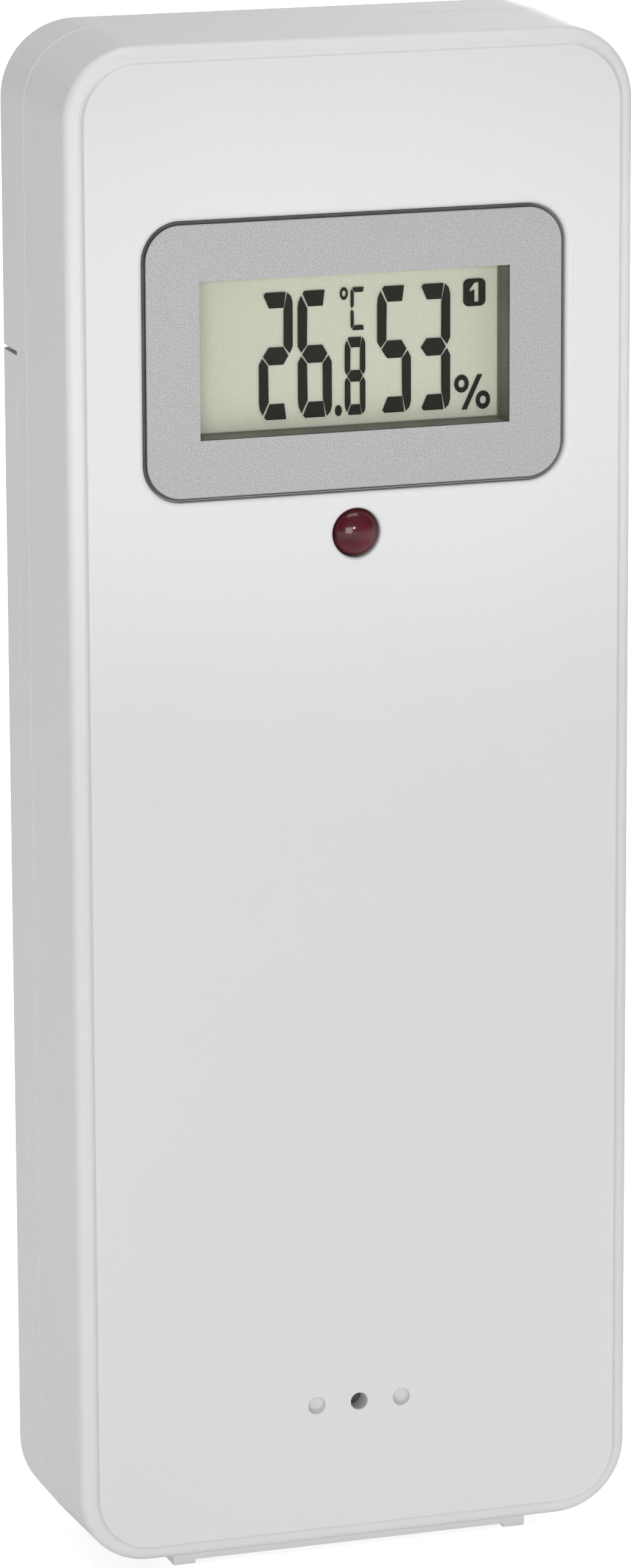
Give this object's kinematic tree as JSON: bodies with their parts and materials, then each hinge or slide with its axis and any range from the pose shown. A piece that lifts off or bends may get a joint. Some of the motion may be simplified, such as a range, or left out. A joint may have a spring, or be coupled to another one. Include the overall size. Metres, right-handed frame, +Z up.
{
  "type": "wireless outdoor thermo-hygrometer transmitter",
  "caption": "Slab-shaped wireless temperature and humidity transmitter with a small display, status light, vent, sliding battery cover and keyhole hanger.",
  "frame": {"origin": "the middle of the whole object's footprint, in the plane of the feet", "axes": "+X to the right as seen from the front, -Y out of the display, +Z up"},
  "size_m": [0.05, 0.0206, 0.1317],
  "materials": {
    "white_plastic": "fine matte moulded texture",
    "silver_panel": "silver print with a fine metallic sparkle",
    "olive_plastic": "satin",
    "clear_lens": "clear and glossy",
    "lcd": "pale green reflective liquid-crystal glass",
    "red_light": "dark red translucent epoxy",
    "board": "green solder mask",
    "rubber": "matte",
    "foam": "open foam",
    "black_plastic": "matte",
    "steel": "nickel-plated",
    "copper": "enamelled wire",
    "cell": "printed jacket, no lettering"
  },
  "bodies": {
    "casing": {"front_shell": "white_plastic", "rear_shell": "white_plastic", "shell_gasket": "rubber", "battery_seal": "foam", "display_panel": "silver_panel", "display_frame": "olive_plastic", "display_lens": "clear_lens", "lcd_glass": "lcd", "zebra_strip": "rubber", "status_light": "red_light", "light_lead_plus": "steel", "light_lead_minus": "steel", "main_board": "board", "board_screw_left": "steel", "board_screw_right": "steel", "shell_screw_lower_left": "steel", "shell_screw_upper_left": "steel", "shell_screw_lower_right": "steel", "shell_screw_upper_right": "steel", "humidity_sensor": "black_plastic", "vent_filter": "foam", "radio_board": "board", "radio_can": "steel", "antenna_coil": "copper", "controller_blob": "black_plastic", "reservoir_capacitor": "black_plastic", "crystal_can": "steel", "transmit_switch": "black_plastic", "unit_switch": "black_plastic", "channel_switch": "steel", "contact_link": "steel", "contact_negative": "steel", "contact_positive": "steel", "cell_left": "cell", "cell_right": "cell"},
    "cover": {"battery_cover": "white_plastic"},
    "transmit_button": {"transmit_button": "rubber"},
    "unit_button": {"unit_button": "rubber"},
    "channel_knob": {"channel_knob": "black_plastic"}
  },
  "joints": [
    {"name": "cover_slide", "type": "slide", "parent": "casing", "child": "cover", "axis": [0, 0, -1], "range_m": [0, 0.093]},
    {"name": "transmit_press", "type": "slide", "parent": "casing", "child": "transmit_button", "axis": [0, -1, 0], "range_m": [0, 0.0005], "stiffness_N_per_m": 1500},
    {"name": "unit_press", "type": "slide", "parent": "casing", "child": "unit_button", "axis": [0, -1, 0], "range_m": [0, 0.0005], "stiffness_N_per_m": 1500},
    {"name": "channel_select", "type": "slide", "parent": "casing", "child": "channel_knob", "axis": [1, 0, 0], "range_m": [0, 0.004]}
  ]
}
